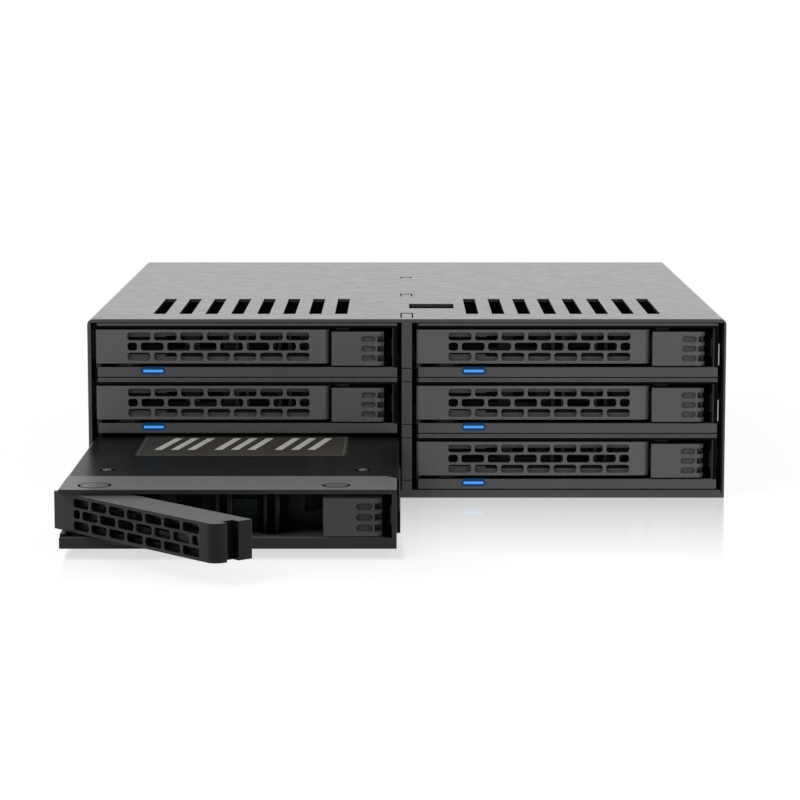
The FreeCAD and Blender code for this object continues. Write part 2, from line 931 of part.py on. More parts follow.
def grille(piece, first, face, middle):
    """Three rows of bricks, the middle row shifted by half a brick, its ends short."""
    long, tall, corner = s.brick_long, brick_tall, s.brick_corner
    bar = s.brick_bar
    outer = cut(
        piece, "XZ", face, s.lever_face,
        brick(first, middle + brick_row - tall / 2, long, tall, corner),
        brick(first, middle - brick_row - tall / 2, long, tall, corner),
    )
    repeat(piece, outer, "H", brick_pitch, brick_count)
    start = first + s.brick_short + bar
    inner = cut(
        piece, "XZ", face, s.lever_face, brick(start, middle - tall / 2, long, tall, corner)
    )
    repeat(piece, inner, "H", brick_pitch, brick_count - 1)
    last = start + brick_pitch * (brick_count - 1)
    row_end = first + brick_pitch * (brick_count - 1) + long
    cut(
        piece, "XZ", face, s.lever_face,
        brick(first, middle - tall / 2, s.brick_short, tall, corner),
        brick(last, middle - tall / 2, row_end - last, tall, corner),
    )


def latch(name, place):
    """Sliding catch beside the lever, with a ribbed grip."""
    piece = new_body(name, *place)
    top = latch_low + lever_tall
    add(
        piece, "XY", latch_low, lever_tall,
        outline(
            (latch_left, 0), (latch_right - s.latch_corner, 0), (latch_right, s.latch_corner),
            (latch_right, s.latch_deep), (latch_left, s.latch_deep),
        ),
    )
    notch = s.lever_deep - s.nose - s.hook
    add(
        piece, "XY", latch_low + s.lever_flange, lever_tall - s.lever_flange * 2,
        box(
            latch_left - s.tooth, s.nose + s.tooth_play,
            latch_left + s.tooth, s.nose + notch - s.tooth_play,
        ),
    )
    low = latch_low + (lever_tall - s.grip_pitch * (s.grip_count - 1) - s.grip_tall) / 2
    grips = cut(
        piece, "XZ", 0, s.grip_depth,
        brick(
            latch_right - s.finger_long - s.grip_long, low,
            s.grip_long, s.grip_tall, s.grip_corner,
        ),
    )
    repeat(piece, grips, "V", s.grip_pitch, s.grip_count)
    fingers = cut(
        piece, "XZ", 0, s.finger_depth,
        box(latch_right - s.finger_cut, low, latch_right, low + s.grip_tall),
    )
    repeat(piece, fingers, "V", s.grip_pitch, s.grip_count)
    reach = (s.pin + s.slide_gap) / 2
    cut(
        piece, "XY", top - s.guide_dip - s.slide_gap, s.guide_dip + s.slide_gap,
        box(latch_left, s.pivot_back - reach, guide_x + reach, s.pivot_back + reach),
    )


def latch_spring(name, place):
    """Bent strip between the tray's side post and the latch."""
    piece = new_body(name, *place)
    post, strip, wide = tray_half - s.side_post, s.spring_strip, s.spring_wide
    near_y, far_y = s.strip_depth * 2, s.strip_depth * 2 + wide
    peak_y = (near_y + far_y) / 2
    add(
        piece, "XY", latch_low + (lever_tall - wide) / 2, wide,
        outline(
            (post - strip, near_y), (post, near_y), (latch_right + strip, peak_y),
            (post, far_y), (post - strip, far_y), (latch_right, peak_y + strip / 2),
            (latch_right, peak_y - strip / 2),
        ),
    )


def tray_pins(name, place):
    """The lever's pivot between pad and lip, and the key under the lip that guides the latch."""
    piece = new_body(name, *place)
    lip_low, key = s.tray_tall - s.lip_thick, s.pin / 2
    guide_low = latch_low + lever_tall - s.guide_dip
    add(piece, "XY", pad_top, lip_low - pad_top, circle(pivot_x, s.pivot_back, s.pin))
    add(
        piece, "XY", guide_low, lip_low - guide_low,
        box(guide_x - key, s.pivot_back - key, guide_x + key, s.pivot_back + key),
    )


def light_pipe(name, place):
    """Clear lens in the strip, with a rod under the drive back to the board's lamp."""
    piece = new_body(name, *place)
    left = lens_left + (s.lens_long - s.pipe) / 2
    add(
        piece, "XZ", 0, s.strip_depth,
        brick(lens_left, lens_low, s.lens_long, s.lens_tall, s.lens_corner),
    )
    add(
        piece, "XZ", s.strip_depth, drive_rear - s.strip_depth,
        box(left, lens_low, left + s.pipe, lens_low + s.pipe),
    )


def drive(name, place):
    """Flat drive with a recess at its rear for the socket."""
    piece = new_body(name, *place)
    half, top = s.drive_width / 2, s.drive_up + s.drive_tall
    add(
        piece, "XY", s.drive_up, s.drive_tall,
        box(-half, drive_front, half, drive_rear),
    )
    round_edges(
        piece, s.drive_edge,
        lambda middle, edge: near(middle.z, top),
        "PartDesign::Chamfer",
    )
    left, play = -s.plug_offset - s.plug_width / 2, s.plug_play
    deep = s.plug_reach + s.plug_play
    cut(
        piece, "XZ", drive_rear - deep, deep,
        box(
            left - play, plug_low - play,
            left + s.plug_width + play, plug_low + s.plug_tall + play,
        ),
    )


def tray(bay, column, level, pull, angle):
    """All the pieces of one tray."""
    place = (bay_middle * column, front - pull, s.first_bay + s.bay_pitch * level)
    tray_frame(f"{bay}_tray", place)
    lever(f"{bay}_lever", place, angle)
    latch(f"{bay}_latch", place)
    latch_spring(f"{bay}_latch_spring", place)
    tray_pins(f"{bay}_pins", place)
    light_pipe(f"{bay}_light_pipe", place)
    drive(f"{bay}_drive", place)


outer_shell()
bottom_plate()
centre_divider()
bay_rails()
rear_panel()
backplane()
drive_sockets()
data_ports()
power_ports()
board_standoffs()
rear_screws()
side_screws()
for side_name, column in (("left", -1), ("right", 1)):
    fan_housing(f"{side_name}_fan_housing", fan_x * column)
    fan_rotor(f"{side_name}_fan_rotor", fan_x * column)
    for level, row_name in enumerate(("bottom", "middle", "top")):
        drawn_out = (row_name, side_name) == ("bottom", "left")
        tray(
            f"{row_name}_{side_name}", column, level,
            s.pull if drawn_out else sized(0),
            s.lever_open if drawn_out else None,
        )
doc.recompute()

# Every object has to be sound, and every pocket has to take something away.
for thing in doc.Objects:
    if "Invalid" in thing.State or "Error" in thing.State:
        raise RuntimeError(f"{thing.Name} of {thing.Label} is {thing.State}")
for pocket in doc.findObjects("PartDesign::Pocket"):
    body = pocket.getParentGeoFeatureGroup()
    if pocket.Shape.Volume > pocket.BaseFeature.Shape.Volume - 1e-3:
        raise RuntimeError(f"{pocket.Name} of {body.Label} cuts nothing")

os.makedirs("parts", exist_ok=True)
for body in doc.findObjects("PartDesign::Body"):
    if body.Shape.isNull() or not body.Shape.isValid():
        raise RuntimeError(f"{body.Label} has no sound shape")
    body.Shape.exportStep(f"parts/{body.Label}.step")
    print(body.Label, len(body.Shape.Solids), round(body.Shape.Volume, 2))
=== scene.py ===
import bpy
import bmesh
import json
import math
from mathutils import Matrix, Vector


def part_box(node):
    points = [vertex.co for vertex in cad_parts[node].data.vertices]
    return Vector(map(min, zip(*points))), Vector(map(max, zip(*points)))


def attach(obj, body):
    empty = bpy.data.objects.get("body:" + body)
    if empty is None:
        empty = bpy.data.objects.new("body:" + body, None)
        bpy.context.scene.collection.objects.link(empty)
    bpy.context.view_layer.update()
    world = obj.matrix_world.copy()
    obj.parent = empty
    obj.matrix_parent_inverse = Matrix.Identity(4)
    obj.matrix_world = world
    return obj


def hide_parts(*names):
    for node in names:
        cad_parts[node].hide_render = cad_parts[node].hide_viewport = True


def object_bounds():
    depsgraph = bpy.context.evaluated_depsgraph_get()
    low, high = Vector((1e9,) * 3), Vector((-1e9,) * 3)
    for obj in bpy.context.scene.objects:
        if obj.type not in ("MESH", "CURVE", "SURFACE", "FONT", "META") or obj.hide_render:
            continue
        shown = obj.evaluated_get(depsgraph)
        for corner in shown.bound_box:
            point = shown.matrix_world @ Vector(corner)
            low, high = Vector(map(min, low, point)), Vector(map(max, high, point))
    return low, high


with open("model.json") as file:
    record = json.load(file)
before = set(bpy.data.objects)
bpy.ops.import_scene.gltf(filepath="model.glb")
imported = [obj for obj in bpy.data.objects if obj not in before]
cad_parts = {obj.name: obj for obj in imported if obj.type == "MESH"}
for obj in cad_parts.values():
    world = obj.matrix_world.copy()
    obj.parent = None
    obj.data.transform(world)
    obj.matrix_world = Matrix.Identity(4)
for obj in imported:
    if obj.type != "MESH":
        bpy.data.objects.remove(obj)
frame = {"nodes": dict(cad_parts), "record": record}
cadBox = [[float(value) for value in corner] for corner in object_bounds()]
print("frame loaded with", len(frame["nodes"]), "nodes")

mm = 0.001
sheet = 0.8  # the case's metal
roundSteps = 48  # facets of a round mark
rows, columns = ("bottom", "middle", "top"), ("left", "right")
bays = [f"{row}_{column}" for row in rows for column in columns]
drawnBay = "bottom_left"


def sizes(part, *keys):
    # a piece's sizes in metres
    return [part[key] * mm for key in keys]


# node trees, written as short chains
def startMaterial(name):
    material = bpy.data.materials.new(name)
    material.use_nodes = True
    tree = material.node_tree
    return material, tree, tree.nodes["Principled BSDF"]


def addNode(tree, kind, inputs=None, **settings):
    node = tree.nodes.new("ShaderNode" + kind)
    for key, value in settings.items():
        setattr(node, key, value)
    for key, value in (inputs or {}).items():
        if isinstance(value, bpy.types.NodeSocket):
            tree.links.new(value, node.inputs[key])
        else:
            node.inputs[key].default_value = value
    return node


def plug(tree, socket, value):
    tree.links.new(value, socket)


def objectPoint(tree, scale=(1, 1, 1), turn=(0, 0, 0)):
    spot = addNode(tree, "TexCoord").outputs["Object"]
    mapping = addNode(tree, "Mapping", {"Vector": spot, "Scale": scale, "Rotation": turn})
    return mapping.outputs["Vector"]


def noise(tree, point, scale, detail=2.0):
    inputs = {"Vector": point, "Scale": scale, "Detail": detail}
    return addNode(tree, "TexNoise", inputs).outputs["Fac"]


def spread(tree, value, low, high, fromLow=0.0, fromHigh=1.0):
    inputs = {
        "Value": value, "From Min": fromLow, "From Max": fromHigh, "To Min": low, "To Max": high,
    }
    return addNode(tree, "MapRange", inputs).outputs["Result"]


def blendColours(tree, share, first, second):
    mix = addNode(tree, "Mix", {"Factor": share}, data_type="RGBA")
    for socket, value in zip(("A", "B"), (first, second)):
        target = next(s for s in mix.inputs if s.name == socket and s.type == "RGBA")
        if isinstance(value, bpy.types.NodeSocket):
            tree.links.new(value, target)
        else:
            target.default_value = (*value, 1)
    return next(s for s in mix.outputs if s.type == "RGBA")


def maths(tree, operation, first, second=0.0):
    node = addNode(tree, "Math", operation=operation)
    for socket, value in zip(node.inputs, (first, second)):
        if isinstance(value, bpy.types.NodeSocket):
            tree.links.new(value, socket)
        else:
            socket.default_value = value
    return node.outputs[0]


def axesOf(tree, point):
    return addNode(tree, "SeparateXYZ", {0: point}).outputs


def softEdges(tree, radius):
    bevel = addNode(tree, "Bevel", {"Radius": radius}, samples=4)
    return bevel.outputs["Normal"]


def edgeShare(tree, radius):
    # how far the rounded normal leaves the flat one, 0 on a face and 1 on a corner
    flat = addNode(tree, "NewGeometry").outputs["Normal"]
    dot = addNode(tree, "VectorMath", operation="DOT_PRODUCT")
    plug(tree, dot.inputs[0], softEdges(tree, radius))
    plug(tree, dot.inputs[1], flat)
    return spread(tree, dot.outputs["Value"], 0.0, 1.0, 0.995, 0.75)


# the seams round the divider's tabs in the top
tabSeam = {
    "half": 1.175, "line": 0.3, "deep": 1.4, "first": 13.3, "step": 46.5,
    "sides": (9.5, 5.0, 2.5), "skin": 0.15,
}


def seamShare(tree, point):
    # 1 on a seam and 0 elsewhere
    low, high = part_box("outer_shell")
    half, line, deep, skin = sizes(tabSeam, "half", "line", "deep", "skin")
    axes = axesOf(tree, point)
    across = maths(tree, "ABSOLUTE", axes["X"])
    inner = maths(tree, "GREATER_THAN", across, half)
    seams = 0.0
    for number, side in enumerate(tabSeam["sides"]):
        rear = float(low[1]) + (tabSeam["first"] + number * tabSeam["step"]) * mm
        ends = maths(tree, "COMPARE", axes["Y"], rear)
        flanks = maths(tree, "COMPARE", axes["Y"], rear - (deep + side * mm) / 2)
        ends.node.inputs[2].default_value = deep / 2
        flanks.node.inputs[2].default_value = side * mm / 2
        seam = maths(tree, "MAXIMUM", ends, maths(tree, "MULTIPLY", flanks, inner))
        seams = maths(tree, "ADD", seam, seams)
    onTop = maths(tree, "GREATER_THAN", axes["Z"], float(high[2]) - skin)
    reach = maths(tree, "LESS_THAN", across, half + line)
    return maths(tree, "MULTIPLY", maths(tree, "MULTIPLY", seams, onTop), reach)


# finishes, as painted or moulded coats
# worn is the tone of the lighter edges, partly wear and partly a painted highlight
powderCoat = {
    "colour": (0.027, 0.028, 0.030), "wornAndGlint": (0.060, 0.061, 0.065), "specular": 0.43,
    "roughness": 0.235, "grain": 5200, "grainHeight": 0.05, "edge": 0.00016, "cloud": 0.93,
}
leverCoat = {
    "colour": (0.050, 0.050, 0.052), "wornAndGlint": (0.10, 0.10, 0.105), "specular": 0.5,
    "roughness": 0.50, "grain": 4200, "grainHeight": 0.14, "edge": 0.00018, "cloud": 0.90,
    "pocket": 0.7,
}
trayCoat = {**leverCoat, "colour": (0.030, 0.030, 0.032)}
latchCoat = {**leverCoat, "colour": (0.043, 0.043, 0.045), "pocket": 0.72}
# painted shade: the drawn tray, its lever and latch wear darker copies of the same coats
shadedDrawnCoat = {
    **leverCoat, "colour": (0.005, 0.005, 0.0051), "wornAndGlint": (0.022, 0.022, 0.023),
    "specular": 0.13, "roughness": 0.36, "sheen": 0.31, "pocket": 0.12,
}
shadedDrawnTrayCoat = {**shadedDrawnCoat, "colour": (0.013, 0.0128, 0.0128), "sheen": 0.28}
shadedDrawnLatchCoat = {**shadedDrawnCoat, "colour": (0.034, 0.033, 0.033), "sheen": 0.1, "pocket": 0.7}
driveCoat = {
    "colour": (0.0055, 0.0055, 0.0057), "wornAndGlint": (0.02, 0.02, 0.021), "specular": 0.04,
    "roughness": 0.30, "grain": 9000, "grainHeight": 0.04, "edge": 0.00015, "cloud": 0.8,
}
plasticCoat = {
    "colour": (0.018, 0.018, 0.019), "wornAndGlint": (0.035, 0.035, 0.036), "specular": 0.5,
    "roughness": 0.42, "grain": 3000, "grainHeight": 0.06, "edge": 0.00012, "cloud": 0.88,
}


# pocket, pocketReach and pocketTone set the painted shade in pockets and slots
coatDetail = {
    "cloud": 60, "grainDeep": 0.00005, "wear": 900, "smear": 350, "sheenRough": 0.35,
    "pocketReach": 0.006, "pocketTone": (0.002, 0.002, 0.002), "pocket": 0.3,
}


def coatMaterial(name, coat):
    material, tree, shader = startMaterial(name)
    point = objectPoint(tree)
    cloud = spread(tree, noise(tree, point, coatDetail["cloud"], 3), 0, 1, 0.3, 0.7)
    dark = tuple(coat["cloud"] * value for value in coat["colour"])
    tone = blendColours(tree, cloud, dark, coat["colour"])
    # corners are lighter in patches: partly wear, partly a painted highlight where edges catch
    # light
    wear = spread(tree, noise(tree, point, coatDetail["wear"]), 0.2, 0.8, 0.35, 0.65)
    wearAndGlint = maths(tree, "MULTIPLY", edgeShare(tree, coat["edge"]), wear)
    tone = blendColours(tree, wearAndGlint, tone, coat["wornAndGlint"])
    # painted shade: an ambient occlusion node darkens pockets and slots towards a near-black tone
    # and takes their gloss and sheen away
    reach, pocket = coatDetail["pocketReach"], coat.get("pocket", coatDetail["pocket"])
    occlusionShade = addNode(tree, "AmbientOcclusion", {"Distance": reach}, samples=6, only_local=True)
    unshadedShare = spread(tree, occlusionShade.outputs["AO"], pocket, 1.0, 0.4, 0.95)
    # seam lines round the divider's tabs go dark in the same mask
    if coat.get("seamed"):
        plain = maths(tree, "SUBTRACT", 1.0, seamShare(tree, point))
        unshadedShare = maths(tree, "MULTIPLY", unshadedShare, plain)
    tone = blendColours(tree, unshadedShare, coatDetail["pocketTone"], tone)
    sheen = spread(tree, unshadedShare, 0.0, coat.get("sheen", 0.0), 0.5, 1.0)
    smear = noise(tree, point, coatDetail["smear"], 3)
    rough = spread(tree, smear, coat["roughness"] - 0.02, coat["roughness"] + 0.03, 0.3, 0.7)
    bump = addNode(tree, "Bump", {
        "Strength": coat["grainHeight"], "Distance": coatDetail["grainDeep"],
        "Height": noise(tree, point, coat["grain"]), "Normal": softEdges(tree, coat["edge"]),
    })
    plug(tree, shader.inputs["Base Color"], tone)
    plug(tree, shader.inputs["Specular IOR Level"], spread(tree, unshadedShare, 0.0, coat["specular"]))
    plug(tree, shader.inputs["Sheen Weight"], sheen)
    shader.inputs["Sheen Roughness"].default_value = coatDetail["sheenRough"]
    plug(tree, shader.inputs["Roughness"], rough)
    plug(tree, shader.inputs["Normal"], bump.outputs["Normal"])
    return material


metalDetail = {"streaks": 900, "dark": 0.75, "edge": 0.0001}


def metalMaterial(name, colour, roughness, brushed=(1, 1, 30)):
    material, tree, shader = startMaterial(name)
    point = objectPoint(tree, brushed)
    streaks = noise(tree, point, metalDetail["streaks"], 3)
    dark = tuple(metalDetail["dark"] * value for value in colour)
    rough = spread(tree, streaks, roughness - 0.06, roughness + 0.1, 0.3, 0.7)
    plug(tree, shader.inputs["Base Color"], blendColours(tree, streaks, dark, colour))
    plug(tree, shader.inputs["Roughness"], rough)
    shader.inputs["Metallic"].default_value = 1.0
    plug(tree, shader.inputs["Normal"], softEdges(tree, metalDetail["edge"]))
    return material


solderMask = {
    "mask": (0.010, 0.060, 0.032), "maskLight": (0.012, 0.072, 0.038),
    "track": (0.022, 0.125, 0.066), "cells": 260.0, "gap": 0.035, "speckle": 1500,
    "roughness": 0.28, "specular": 0.5, "edge": 0.0001,
}


def boardMaterial(name, share=1.0):
    # share dims the whole board; below 1 this is painted shade
    material, tree, shader = startMaterial(name)
    mask, maskLight, track = (
        tuple(share * value for value in solderMask[key]) for key in ("mask", "maskLight", "track")
    )
    point = objectPoint(tree)
    cells = addNode(tree, "TexBrick", {
        "Vector": objectPoint(tree, (1, 1, 1), (math.pi / 2, 0, 0)), "Scale": solderMask["cells"],
        "Mortar Size": solderMask["gap"],
        "Color1": (*mask, 1), "Color2": (*maskLight, 1), "Mortar": (*track, 1),
    })
    speckle = spread(tree, noise(tree, point, solderMask["speckle"]), 0.0, 0.35, 0.4, 0.7)
    tone = blendColours(tree, speckle, cells.outputs["Color"], track)
    plug(tree, shader.inputs["Base Color"], tone)
    shader.inputs["Roughness"].default_value = solderMask["roughness"]
    shader.inputs["Specular IOR Level"].default_value = solderMask["specular"] * share
    plug(tree, shader.inputs["Normal"], softEdges(tree, solderMask["edge"]))
    return material


lamp = {
    "bar": (0.075, 0.33, 0.86), "barPower": 0.95, "rim": (0.0010, 0.036, 0.108), "rimPower": 0.8,
    "deep": 1.7, "unlit": (0.002, 0.003, 0.005), "roughness": 0.25, "specular": 0.12,
}
lampEdge = float(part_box("top_left_light_pipe")[0][1]) + lamp["deep"] * mm


def litMaterial(name, colour, power):
    # it glows at its front only, and the rod behind stays dark
    material, tree, shader = startMaterial(name)
    point = objectPoint(tree)
    uneven = spread(tree, noise(tree, point, 800, 1), 0.85, 1.1, 0.3, 0.7)
    glow = blendColours(tree, uneven, tuple(0.9 * value for value in colour), colour)
    lit = maths(tree, "LESS_THAN", axesOf(tree, point)["Y"], lampEdge)
    plug(tree, shader.inputs["Base Color"], blendColours(tree, 0.9, glow, lamp["unlit"]))
    plug(tree, shader.inputs["Emission Color"], glow)
    plug(tree, shader.inputs["Emission Strength"], maths(tree, "MULTIPLY", lit, power))
    shader.inputs["Roughness"].default_value = lamp["roughness"]
    shader.inputs["Specular IOR Level"].default_value = lamp["specular"]
    return material


def plainMaterial(name, colour, roughness, patch=1200, share=0.8, specular=0.5):
    # a moulded or printed finish whose tone wanders a little
    material, tree, shader = startMaterial(name)
    haze = noise(tree, objectPoint(tree), patch)
    dark = tuple(share * value for value in colour)
    rough = spread(tree, haze, roughness - 0.04, roughness + 0.06, 0.3, 0.7)
    plug(tree, shader.inputs["Base Color"], blendColours(tree, haze, dark, colour))
    plug(tree, shader.inputs["Roughness"], rough)
    shader.inputs["Specular IOR Level"].default_value = specular
    return material


finishes = {
    "case_paint": coatMaterial("casePaint", powderCoat),
    "tray_paint": coatMaterial("trayPaint", trayCoat),
    "drive_case": coatMaterial("driveCase", driveCoat),
    "rail_plastic": coatMaterial("railPlastic", plasticCoat),
    "connector": coatMaterial("connectorPlastic", plasticCoat),
    "fan_plastic": coatMaterial("fanPlastic", plasticCoat),
    "black_steel": coatMaterial("blackenedSteel", trayCoat),
    "plated_steel": metalMaterial("platedSteel", (0.62, 0.61, 0.58), 0.3),
    "board": boardMaterial("solderMask"),
    "light_pipe": litMaterial("litLens", lamp["rim"], lamp["rimPower"]),
}
lampGlow = litMaterial("lampBar", lamp["bar"], lamp["barPower"])
shellPaint = coatMaterial("shellPaint", {**powderCoat, "seamed": True})
leverPaint = coatMaterial("leverPaint", leverCoat)
latchPaint = coatMaterial("latchPaint", latchCoat)
shadedDrawnPaint = coatMaterial("shadedDrawnLeverPaint", shadedDrawnCoat)
shadedDrawnTrayPaint = coatMaterial("shadedDrawnTrayPaint", shadedDrawnTrayCoat)
shadedDrawnLatchPaint = coatMaterial("shadedDrawnLatchPaint", shadedDrawnLatchCoat)
darkPipe = plainMaterial("darkLens", (0.010, 0.012, 0.014), 0.22, specular=0.2)
springSteel = metalMaterial("springSteel", (0.045, 0.045, 0.046), 0.42)
# the tray boards' solder mask dimmed to 0.16, painted shade of the dark tray chamber
shadedLampBoard = boardMaterial("shadedLampBoard", 0.16)
gold = metalMaterial("goldPlating", (0.80, 0.56, 0.20), 0.25)
solder = metalMaterial("solder", (0.66, 0.66, 0.64), 0.35)
chipBlack = plainMaterial("chipResin", (0.016, 0.016, 0.017), 0.45)
partTan = plainMaterial("capacitorTan", (0.32, 0.22, 0.12), 0.4)
# near-black with no gloss, painted shade for grooves, gaps, recesses and shaded edges
shadeBlack = plainMaterial("paintedShadeBlack", (0.004, 0.004, 0.004), 0.7, specular=0.0)
markDisc = plainMaterial("markDisc", (0.055, 0.055, 0.056), 0.34, specular=0.25)
labelFilm = plainMaterial("labelFilm", (0.030, 0.027, 0.021), 0.50, 300, 0.82, 0.12)
labelEdge = plainMaterial("labelEdge", (0.085, 0.08, 0.07), 0.5, 700, 0.7, 0.2)
labelInk = plainMaterial("labelInk", (0.36, 0.35, 0.33), 0.55, 900, 0.85, 0.2)
screwSteel = metalMaterial("driveScrews", (0.10, 0.10, 0.10), 0.42)
ventShadeBlack = plainMaterial("ventShadeBlack", (0.0016, 0.0016, 0.0016), 0.8, 5000, 0.4, 0.0)
foil = metalMaterial("fanFoil", (0.30, 0.31, 0.32), 0.38, (1, 1, 1))
print("finishes made")


def dress(node, material):
    slots = frame["nodes"][node].data.materials
    slots.clear()
    slots.append(material)


for entry in frame["record"]["subparts"]:
    dress(entry["node"], finishes[entry["material_slot"]])
# the drawn bay gets the darker coat copies, which are painted shade
for bay in bays:
    drawn = bay == drawnBay
    dress(f"{bay}_lever", shadedDrawnPaint if drawn else leverPaint)
    dress(f"{bay}_latch", shadedDrawnLatchPaint if drawn else latchPaint)
    dress(f"{bay}_latch_spring", springSteel)
dress(f"{drawnBay}_tray", shadedDrawnTrayPaint)
dress(f"{drawnBay}_light_pipe", darkPipe)
for node in ("outer_shell", "centre_divider"):
    dress(node, shellPaint)
print("frame dressed")


# ways to make pieces
def makePiece(name, bm, material, body):
    bmesh.ops.recalc_face_normals(bm, faces=bm.faces[:])
    mesh = bpy.data.meshes.new(name)
    bm.to_mesh(mesh)
    bm.free()
    piece = bpy.data.objects.new(name, mesh)
    bpy.context.scene.collection.objects.link(piece)
    mesh.materials.append(material)
    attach(piece, body)
    return piece


def block(bm, low, high, edge=0.0, segments=2):
    # a box between two corners, its edges rounded where edge is given
    low, high = Vector(low), Vector(high)
    place = Matrix.Translation((low + high) / 2) @ Matrix.Diagonal((*(high - low), 1))
    verts = bmesh.ops.create_cube(bm, size=1.0, matrix=place)["verts"]
    if edge:
        edges = {line for vert in verts for line in vert.link_edges}
        bmesh.ops.bevel(
            bm, geom=list(edges), offset=edge, segments=segments, profile=0.5,
            affect="EDGES", material=-1, clamp_overlap=True,
        )


def turned(bm, profile, place, steps):
    # a profile of (radius, height) pairs turned round the upright axis of its place
    verts = [bm.verts.new((radius, 0, height)) for radius, height in profile]
    lines = [bm.edges.new(pair) for pair in zip(verts, verts[1:])]
    before = set(bm.verts) - set(verts)
    bmesh.ops.spin(
        bm, geom=verts + lines, axis=(0, 0, 1), cent=(0, 0, 0), angle=math.tau,
        steps=steps, use_merge=True, dvec=(0, 0, 0),
    )
    made = [vert for vert in bm.verts if vert not in before]
    bmesh.ops.remove_doubles(bm, verts=made, dist=1e-7)
    made = [vert for vert in bm.verts if vert not in before]
    bmesh.ops.transform(bm, matrix=place, verts=made)


def sheetPlate(bm, low, high, corner, segments):
    # a thin plate between two corners, rounded as seen from above
    before = set(bm.faces)
    low, high = Vector(low), Vector(high)
    flat = Matrix.Diagonal((high.x - low.x, high.y - low.y, 1, 1))
    place = Matrix.Translation(((low.x + high.x) / 2, (low.y + high.y) / 2, low.z)) @ flat
    verts = bmesh.ops.create_grid(bm, x_segments=1, y_segments=1, size=0.5, matrix=place)["verts"]
    bmesh.ops.bevel(
        bm, geom=verts, offset=corner, segments=segments, profile=0.5,
        affect="VERTICES", material=-1, clamp_overlap=True,
    )
    faces = [face for face in bm.faces if face not in before]
    grown = bmesh.ops.extrude_face_region(bm, geom=faces, use_keep_orig=True)["geom"]
    risen = [part for part in grown if isinstance(part, bmesh.types.BMVert)]
    bmesh.ops.translate(bm, vec=(0, 0, high.z - low.z), verts=risen)


screwHead = {
    "steps": 24, "taper": 0.8, "rim": 0.12, "arm": 0.55, "armHalfAngle": 15,
    "narrow": 0.7, "sunk": 0.6,
}


def crossScrew(bm, place, radius, tall):
    # a low screw head with a cross recess, its axis along the place's Z
    before = set(bm.verts)
    bmesh.ops.create_cone(
        bm, cap_ends=True, segments=screwHead["steps"], radius1=radius,
        radius2=radius * screwHead["taper"], depth=tall,
        matrix=Matrix.Translation((0, 0, tall / 2)),
    )
    made = [vert for vert in bm.verts if vert not in before]
    faces = {face for vert in made for face in vert.link_faces}
    top = max(faces, key=lambda face: face.calc_center_median().z)
    bmesh.ops.inset_region(bm, faces=[top], thickness=radius * screwHead["rim"], depth=0.0)
    reach = radius * screwHead["arm"]
    wide = reach * math.tan(math.radians(screwHead["armHalfAngle"]))
    for vert in top.verts:
        angle = math.atan2(vert.co.y, vert.co.x)
        along, across = abs(math.cos(angle)), abs(math.sin(angle))
        first = min(reach / max(along, 1e-6), wide / max(across, 1e-6))
        second = min(reach / max(across, 1e-6), wide / max(along, 1e-6))
        far = max(first, second)
        vert.co.x, vert.co.y = far * math.cos(angle), far * math.sin(angle)
    grown = bmesh.ops.extrude_discrete_faces(bm, faces=[top])["faces"][0]
    narrow, floor = screwHead["narrow"], tall * (1 - screwHead["sunk"])
    for vert in grown.verts:
        vert.co = Vector((vert.co.x * narrow, vert.co.y * narrow, floor))
    made = [vert for vert in bm.verts if vert not in before]
    bmesh.ops.transform(bm, matrix=place, verts=made)


def spaced(count, step):
    # places a step apart, spread evenly either side of zero
    return [(number - (count - 1) / 2) * step for number in range(count)]


def boxOf(node):
    low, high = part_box(node)
    return Vector(low), Vector(high)


def bodyOf(bay, part="tray"):
    return f"{bay}_{part}_body"


# lamps behind the lenses
lampBar = {"inset": 0.45, "tall": 0.72, "proud": 0.05, "deep": 0.4, "edge": 0.3}


def addLampBar(bay):
    low, high = boxOf(f"{bay}_light_pipe")
    inset, tall, proud, deep, edge = sizes(lampBar, "inset", "tall", "proud", "deep", "edge")
    top, front = (low.z + high.z + tall) / 2, low.y - proud
    bm = bmesh.new()
    block(bm, (low.x + inset, front, top - tall), (high.x - inset, front + deep, top), edge, 3)
    makePiece(f"{bay}_lamp_bar", bm, lampGlow, bodyOf(bay))


for bay in bays:
    if bay != drawnBay:
        addLampBar(bay)
print("lamps added")

# edges of the tray fronts and the side walls
lipEdge = {
    "bead": 0.5, "topBead": 0.12, "deep": 0.5, "shade": 0.5, "thick": 0.02, "lip": 0.9, "in": 0.66,
}
postShade = {"wide": 1.0, "strip": 2.2, "start": 0.5}


def trayFront(bay):
    # the tray's box drawn in to the sides of its front
    low, high = boxOf(f"{bay}_tray")
    step = Vector((lipEdge["in"] * mm, 0, 0))
    return low + step, high - step


def addLipEdges(bay):
    low, high = trayFront(bay)
    rise = lipEdge["topBead" if bay.startswith("top") else "bead"] * mm
    deep, thick, under, shade = sizes(lipEdge, "deep", "thick", "lip", "shade")
    start, wide, strip = sizes(postShade, "start", "wide", "strip")
    left, right, lip = low.x + start, high.x - wide, high.z - under
    bm = bmesh.new()
    block(bm, (left, low.y, high.z), (high.x, low.y + deep, high.z + rise), rise / 3)
    makePiece(f"{bay}_lip_bead", bm, finishes["tray_paint"], bodyOf(bay))
    # near-black films on the lip, the right post and the left end: painted shade
    bm = bmesh.new()
    for west, foot, east, head in (
        (low.x, lip, high.x, lip + shade),
        (right, low.z + strip, high.x, lip),
        (low.x, low.z, left, low.z + strip),
        (low.x, lip + shade, left, high.z),
    ):
        block(bm, (west, low.y - thick, foot), (east, low.y, head))
    makePiece(f"{bay}_front_shades", bm, shadeBlack, bodyOf(bay))


camSeal = {"rim": 1.2, "long": 8.6, "gap": 0.3, "thick": 0.06}


